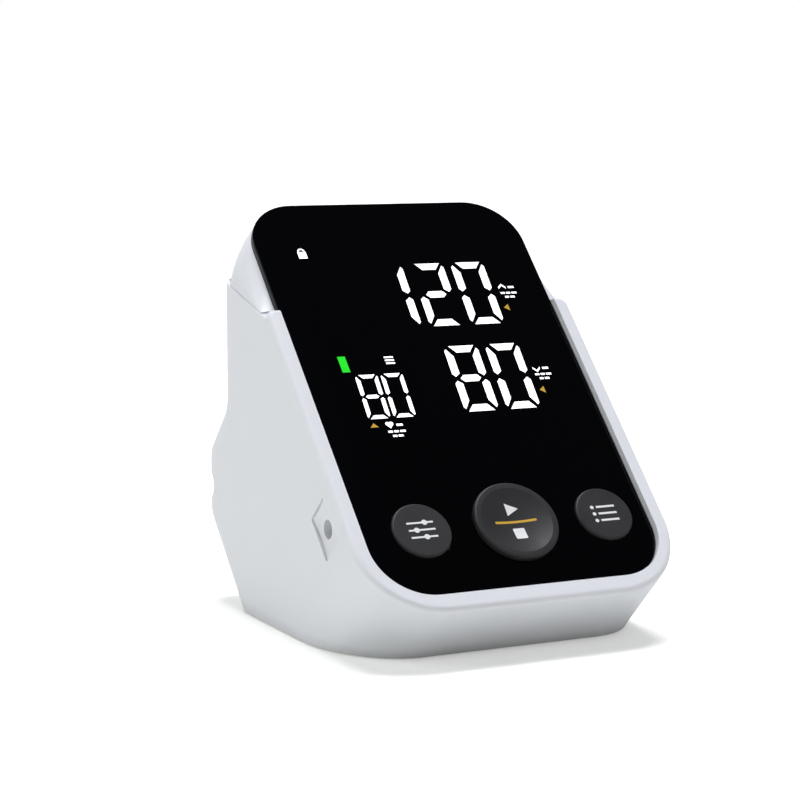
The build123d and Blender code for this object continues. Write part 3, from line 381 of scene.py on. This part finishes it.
def makePanelBlack():
    material, tree, shader = startMaterial("panelBlack", IOR=panelFinish["ior"])
    shader.inputs["Specular IOR Level"].default_value = panelFinish["shine"]
    vector, axes = objectAxes(tree)
    # painted sheen: the base colour turns from black to a lighter navy between X -0.04 and the panel's left
    # edge at -0.05
    glow = tree.nodes.new("ShaderNodeMapRange")
    glow.inputs["From Min"].default_value = panelFinish["paintedSheenTo"]
    glow.inputs["From Max"].default_value = panelFinish["paintedSheenFrom"]
    tree.links.new(axes["X"], glow.inputs["Value"])
    tint = mixColour(tree, glow.outputs["Result"], panelFinish["black"], panelFinish["paintedSheenBlue"])
    tree.links.new(tint, shader.inputs["Base Color"])
    touch = useEffect(tree, touchEffect, Scale=panelFinish["touch"], Cover=panelFinish["cover"])
    cloud = addNoise(tree, vector, 25.0, 3.0)
    rough = spread(tree, cloud, *panelFinish["rough"])
    smear = addMath(tree, "MULTIPLY", touch.outputs["Mask"], panelFinish["smear"])
    tree.links.new(addMath(tree, "ADD", rough, smear), shader.inputs["Roughness"])
    wave = addNoise(tree, vector, panelFinish["waveScale"], 2.0)
    addBump(tree, shader, wave, panelFinish["waveDepth"], panelFinish["waveStrength"])
    return material


coat(makePanelBlack(), "front_panel")
print("casing and panel finished")

# lit figures
litFinishes = {
    "litWhite": {"colour": (0.90, 0.91, 0.92), "dim": (0.80, 0.82, 0.85), "glow": (1.0, 1.0, 1.0),
                 "soft": (0.93, 0.95, 1.0), "strength": 1.1, "on": ("white_figures",)},
    "litGreen": {"colour": (0.0, 0.10, 0.003), "dim": (0.0, 0.08, 0.002), "glow": (0.0, 0.80, 0.006),
                 "soft": (0.0, 0.66, 0.005), "strength": 1.0, "on": ("green_bar",)},
    "litAmber": {"colour": (0.06, 0.035, 0.004), "dim": (0.05, 0.03, 0.003), "glow": (0.56, 0.33, 0.036),
                 "soft": (0.47, 0.28, 0.030), "strength": 1.0, "on": ("amber_arrows", "start_light")},
}


# light shining through a diffusing inlay, a little uneven like its emitters
def makeLit(name, finish):
    material, tree, shader = startMaterial(name, Roughness=0.3)
    shader.inputs["Emission Strength"].default_value = finish["strength"]
    vector, axes = objectAxes(tree)
    patch = addNoise(tree, vector, 260.0, 2.0)
    tree.links.new(mixColour(tree, patch, finish["dim"], finish["colour"]), shader.inputs["Base Color"])
    tree.links.new(mixColour(tree, patch, finish["soft"], finish["glow"]), shader.inputs["Emission Color"])
    grain = useEffect(tree, grainEffect, Scale=3200.0, Unevenness=120.0)
    addBump(tree, shader, grain.outputs["Height"], 0.000004)
    tree.links.new(spread(tree, grain.outputs["Mottle"], 0.25, 0.38), shader.inputs["Roughness"])
    return material


for litName, litFinish in litFinishes.items():
    coat(makeLit(litName, litFinish), *litFinish["on"])

# buttons
buttonFinish = {
    "colour": (0.027, 0.027, 0.0275), "shade": (0.022, 0.022, 0.0225),
    "rough": (0.42, 0.54), "grain": 3200.0, "grainDepth": 0.00001, "shine": 0.28,
    "touch": 90.0, "cover": 0.52, "rub": -0.10,
}
iconFinish = {
    "colour": (0.88, 0.88, 0.88), "shade": (0.80, 0.80, 0.81),
    "rough": (0.40, 0.52), "grain": 4200.0, "grainDepth": 0.000004, "uneven": 300.0,
}
coat(mouldedPlastic("buttonGrey", buttonFinish), "set_button", "start_button", "memory_button")
coat(mouldedPlastic("iconWhite", iconFinish), "set_icon", "start_icon", "memory_icon")
print("figures and buttons finished")

# plastics, rubber and metals inside and underneath
innerFinishes = {
    "switchBlack": ({"colour": (0.030, 0.030, 0.032), "shade": (0.022, 0.022, 0.024), "rough": (0.42, 0.55),
                     "grain": 2400.0, "grainDepth": 0.000015},
                    ("set_plunger", "start_plunger", "memory_plunger", "tact_switches", "power_socket",
                     "valve_head")),
    "chipBlack": ({"colour": (0.026, 0.026, 0.028), "shade": (0.016, 0.016, 0.018), "rough": (0.50, 0.68),
                   "grain": 3600.0, "grainDepth": 0.00002, "uneven": 220.0},
                  ("board_chips", "pressure_sensor")),
    "displayWhite": ({"colour": (0.74, 0.74, 0.72), "shade": (0.68, 0.68, 0.66), "rough": (0.45, 0.6),
                      "grain": 2000.0, "grainDepth": 0.00002}, ("display_module",)),
    "trayGrey": ({"colour": (0.50, 0.50, 0.52), "shade": (0.44, 0.44, 0.46), "rough": (0.5, 0.62),
                  "grain": 1500.0, "grainDepth": 0.00003},
                 ("component_tray", "air_manifold", "motor_end_cap", "pump_head")),
    "footRubber": ({"colour": (0.050, 0.050, 0.052), "shade": (0.032, 0.032, 0.034), "rough": (0.72, 0.90),
                    "grain": 1300.0, "grainDepth": 0.00006, "uneven": 240.0, "dust": (0.12, 0.115, 0.11),
                    "dustTop": 0.0025}, ("rubber_feet", "pump_diaphragm")),
}
for innerName, (finish, wearers) in innerFinishes.items():
    coat(mouldedPlastic(innerName, finish), *wearers)

metalFinishes = {
    "screwSteel": ({"colour": (0.66, 0.66, 0.67), "shade": (0.50, 0.50, 0.51), "rough": (0.22, 0.40),
                    "scratch": 2600.0, "depth": 0.000012},
                   ("board_screws", "plate_screws", "base_screws", "tray_screws", "motor_shaft",
                    "valve_plunger")),
    "contactNickel": ({"colour": (0.74, 0.73, 0.70), "shade": (0.60, 0.59, 0.56), "rough": (0.16, 0.34),
                       "scratch": 1800.0, "depth": 0.00001},
                      ("battery_contacts", "battery_springs", "motor_can", "pump_strap", "valve_frame",
                       "jack_pin")),
}
for metalName, (finish, wearers) in metalFinishes.items():
    coat(platedMetal(metalName, finish), *wearers)


# open-cell foam that the pump rests on
def makeFoam():
    material, tree, shader = startMaterial("pumpFoam", Roughness=0.95)
    vector, axes = objectAxes(tree)
    cells = tree.nodes.new("ShaderNodeTexVoronoi")
    cells.inputs["Scale"].default_value = 1100.0
    tree.links.new(vector, cells.inputs["Vector"])
    tree.links.new(mixColour(tree, cells.outputs["Distance"], (0.012, 0.012, 0.013), (0.065, 0.065, 0.070)),
                   shader.inputs["Base Color"])
    tree.links.new(spread(tree, addNoise(tree, vector, 200.0), 0.85, 1.0), shader.inputs["Roughness"])
    addBump(tree, shader, cells.outputs["Distance"], 0.0004)
    return material


coat(makeFoam(), "pump_foam")


# metal with fine ridges that repeat along one axis: stacked sheets, turned rings or wound wire
def makeRings(name, axis, finish):
    material, tree, shader = startMaterial(name, Metallic=finish.get("metallic", 1.0))
    vector, axes = objectAxes(tree)
    turns = addMath(tree, "MULTIPLY", axes[axis], 2 * pi / finish["pitch"])
    wave = addMath(tree, "ADD", addMath(tree, "MULTIPLY", addMath(tree, "SINE", turns), 0.5), 0.5)
    cloud = addNoise(tree, vector, 300.0, 4.0)
    ridges = addMath(tree, "MULTIPLY", wave, 0.7)
    shade = addMath(tree, "ADD", ridges, addMath(tree, "MULTIPLY", cloud, 0.3))
    tree.links.new(mixColour(tree, shade, finish["shade"], finish["colour"]), shader.inputs["Base Color"])
    tree.links.new(spread(tree, cloud, *finish["rough"]), shader.inputs["Roughness"])
    addBump(tree, shader, wave, finish["depth"])
    return material


ringFinishes = {
    "rotorSheets": ("X", {"colour": (0.34, 0.31, 0.29), "shade": (0.12, 0.105, 0.10), "rough": (0.38, 0.6),
                          "pitch": 0.0005, "depth": 0.00005}, ("motor_armature",)),
    "turnedBrass": ("X", {"colour": (0.78, 0.60, 0.27), "shade": (0.58, 0.43, 0.17), "rough": (0.18, 0.34),
                          "pitch": 0.00022, "depth": 0.00001}, ("pump_eccentric",)),
    "woundCopper": ("Z", {"colour": (0.76, 0.36, 0.15), "shade": (0.30, 0.11, 0.045), "rough": (0.22, 0.38),
                          "pitch": 0.00034, "depth": 0.00012}, ("valve_coil",)),
}
for ringName, (axis, finish, wearers) in ringFinishes.items():
    coat(makeRings(ringName, axis, finish), *wearers)

hoseFinish = {"colour": (0.80, 0.82, 0.80), "shade": (0.66, 0.69, 0.66), "clear": 0.35}


# milky silicone hose with flow lines from its die
def makeSilicone():
    material, tree, shader = startMaterial("hoseSilicone", IOR=1.42)
    shader.inputs["Transmission Weight"].default_value = hoseFinish["clear"]
    brush = useEffect(tree, brushEffect, Scale=1300.0, Stretch=0.08)
    tree.links.new(mixColour(tree, brush.outputs["Cloud"], hoseFinish["shade"], hoseFinish["colour"]),
                   shader.inputs["Base Color"])
    tree.links.new(spread(tree, brush.outputs["Height"], 0.30, 0.50), shader.inputs["Roughness"])
    addBump(tree, shader, brush.outputs["Height"], 0.00003)
    return material


coat(makeSilicone(), "hose_pump", "hose_valve", "hose_socket", "hose_sensor")

cellFinish = {
    "sleeve": (0.045, 0.070, 0.120), "band": (0.62, 0.64, 0.66), "steel": (0.72, 0.71, 0.68),
    "pitch": 0.0148, "middle": 0.0060, "bandFrom": 0.0125, "metalFrom": 0.0238,
}


# printed cell sleeve: a dark body, a light band by the plus end and bare ends
def makeCellWrap():
    material, tree, shader = startMaterial("cellWrap", IOR=1.5)
    vector, axes = objectAxes(tree)
    rowWave = addMath(tree, "SINE", addMath(tree, "MULTIPLY", axes["X"], pi / cellFinish["pitch"]))
    row = addMath(tree, "SIGN", rowWave)  # neighbouring cells point opposite ways
    along = addMath(tree, "MULTIPLY", addMath(tree, "SUBTRACT", axes["Y"], cellFinish["middle"]), row)
    band = addMath(tree, "GREATER_THAN", along, cellFinish["bandFrom"])
    bare = addMath(tree, "GREATER_THAN", addMath(tree, "ABSOLUTE", along), cellFinish["metalFrom"])
    cloud = addNoise(tree, vector, 350.0, 4.0)
    sleeve = mixColour(tree, cloud, (0.036, 0.058, 0.104), cellFinish["sleeve"])
    banded = mixColour(tree, band, sleeve, cellFinish["band"])
    tree.links.new(mixColour(tree, bare, banded, cellFinish["steel"]), shader.inputs["Base Color"])
    tree.links.new(bare, shader.inputs["Metallic"])
    tree.links.new(spread(tree, cloud, 0.16, 0.34), shader.inputs["Roughness"])
    addBump(tree, shader, band, 0.00006)
    return material


coat(makeCellWrap(), "battery_cells")

boardFinish = {"lacquer": (0.012, 0.110, 0.045), "track": (0.030, 0.190, 0.080), "pad": (0.72, 0.66, 0.48)}


# lacquered circuit board with copper tracks under the lacquer and tinned holes
def makeBoardGreen():
    material, tree, shader = startMaterial("boardGreen", IOR=1.55)
    vector, axes = objectAxes(tree)
    tracks = tree.nodes.new("ShaderNodeTexBrick")
    tracks.inputs["Scale"].default_value = 90.0
    tracks.inputs["Mortar Size"].default_value = 0.035
    tracks.inputs["Mortar Smooth"].default_value = 0.1
    join = tree.nodes.new("ShaderNodeCombineXYZ")
    tree.links.new(axes["X"], join.inputs["X"])
    tree.links.new(axes["Z"], join.inputs["Y"])
    tree.links.new(join.outputs[0], tracks.inputs["Vector"])
    holes = tree.nodes.new("ShaderNodeTexVoronoi")
    holes.inputs["Scale"].default_value = 260.0
    holes.inputs["Randomness"].default_value = 0.85
    tree.links.new(join.outputs[0], holes.inputs["Vector"])
    pad = addMath(tree, "LESS_THAN", holes.outputs["Distance"], 0.14)
    lacquer = mixColour(tree, tracks.outputs["Fac"], boardFinish["lacquer"], boardFinish["track"])
    tree.links.new(mixColour(tree, pad, lacquer, boardFinish["pad"]), shader.inputs["Base Color"])
    tree.links.new(pad, shader.inputs["Metallic"])
    tree.links.new(spread(tree, addNoise(tree, vector, 150.0), 0.22, 0.36), shader.inputs["Roughness"])
    addBump(tree, shader, tracks.outputs["Fac"], 0.00004)
    return material


coat(makeBoardGreen(), "main_board")
print("inner finishes done")


# pieces shaped here
def clearSelection():
    if bpy.context.object and bpy.context.object.mode != "OBJECT":
        bpy.ops.object.mode_set(mode="OBJECT")
    bpy.ops.object.select_all(action="DESELECT")


# puts a finished piece's place into its mesh
def settle(piece):
    clearSelection()
    piece.select_set(True)
    bpy.context.view_layer.objects.active = piece
    bpy.ops.object.transform_apply(location=True, rotation=True, scale=True)


# rounds every edge of a piece in edit mode
def softenEdges(piece, width, segments=2):
    clearSelection()
    piece.select_set(True)
    bpy.context.view_layer.objects.active = piece
    bpy.ops.object.mode_set(mode="EDIT")
    bpy.ops.mesh.select_all(action="SELECT")
    bpy.ops.mesh.bevel(offset=width, segments=segments, affect="EDGES")
    bpy.ops.mesh.select_all(action="SELECT")
    bpy.ops.mesh.remove_doubles(threshold=0.000002)
    bpy.ops.mesh.normals_make_consistent(inside=False)
    bpy.ops.object.mode_set(mode="OBJECT")
    bpy.ops.object.shade_smooth_by_angle(angle=radians(40))


def joinAs(name, pieces):
    clearSelection()
    for piece in pieces:
        piece.select_set(True)
    bpy.context.view_layer.objects.active = pieces[0]
    bpy.ops.object.join()
    whole = bpy.context.object
    whole.name = name
    whole.data.name = name
    return whole


def dress(piece, material, body):
    piece.data.materials.clear()
    piece.data.materials.append(material)
    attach(piece, body)


# rotor windings: a bundle in each slot and a wound ring at each end
windings = {"ringRadius": 0.0066, "ringThick": 0.0019, "bundleRadius": 0.0013, "bundleAt": 0.0092,
            "slots": 5, "proud": 0.0014}
rotorLow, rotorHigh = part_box("motor_armature")
shaftLow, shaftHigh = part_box("motor_shaft")
axisY = (shaftLow.y + shaftHigh.y) / 2
axisZ = (shaftLow.z + shaftHigh.z) / 2


def makeWindings():
    bundles = []
    clearSelection()
    for end, way in ((rotorLow.x, -1), (rotorHigh.x, 1)):
        bpy.ops.mesh.primitive_torus_add(
            location=(end + way * windings["proud"] * 0.5, axisY, axisZ), rotation=(0, pi / 2, 0),
            major_radius=windings["ringRadius"], minor_radius=windings["ringThick"],
            major_segments=60, minor_segments=14)
        ring = bpy.context.object
        settle(ring)
        ring.select_set(True)
        bpy.ops.object.mode_set(mode="EDIT")
        bpy.ops.mesh.select_all(action="SELECT")
        bpy.ops.transform.resize(value=(0.72, 1, 1), center_override=(end, axisY, axisZ))
        bpy.ops.object.mode_set(mode="OBJECT")
        bpy.ops.object.shade_smooth()
        bundles.append(ring)
    length = rotorHigh.x - rotorLow.x + 2 * windings["proud"]
    for index in range(windings["slots"]):
        turn = 2 * pi * index / windings["slots"]
        place = ((rotorLow.x + rotorHigh.x) / 2, axisY + windings["bundleAt"] * cos(turn),
                 axisZ + windings["bundleAt"] * sin(turn))
        clearSelection()
        bpy.ops.mesh.primitive_cylinder_add(radius=windings["bundleRadius"], depth=length, location=place,
                                            rotation=(0, pi / 2, 0), vertices=20)
        bundle = bpy.context.object
        settle(bundle)
        softenEdges(bundle, 0.0003)
        bundles.append(bundle)
    return joinAs("rotorWindings", bundles)


rotorWindings = makeWindings()
windingCopper = makeRings("windingCopper", "Z", {"colour": (0.74, 0.33, 0.13), "shade": (0.28, 0.10, 0.04),
                                                 "rough": (0.24, 0.4), "pitch": 0.00042, "depth": 0.00015})
dress(rotorWindings, windingCopper, "pump_rotor")
print("rotor windings made")

# floor
floorFinish = {
    "size": 60.0, "colour": (0.85, 0.855, 0.815), "shade": (0.84, 0.845, 0.805),
    "lift": 0.34,  # thins the shadow that the camera sees
}
clearSelection()
bpy.ops.mesh.primitive_plane_add(size=floorFinish["size"], location=(0, 0, cadBox[0].z))
floor = bpy.context.object
floor.name = "studioFloor"
floorPaint, floorTree, floorShader = startMaterial("floorPaper", Roughness=0.9)
floorShader.inputs["Specular IOR Level"].default_value = 0.1
floorVector, floorAxes = objectAxes(floorTree)
floorTree.links.new(mixColour(floorTree, addNoise(floorTree, floorVector, 4.0), floorFinish["shade"],
                              floorFinish["colour"]), floorShader.inputs["Base Color"])
floorPath = floorTree.nodes.new("ShaderNodeLightPath")
floorTree.links.new(addMath(floorTree, "MULTIPLY", floorPath.outputs["Is Camera Ray"], floorFinish["lift"]),
                    floorShader.inputs["Emission Strength"])
floor.data.materials.append(floorPaint)

print("scene ready")
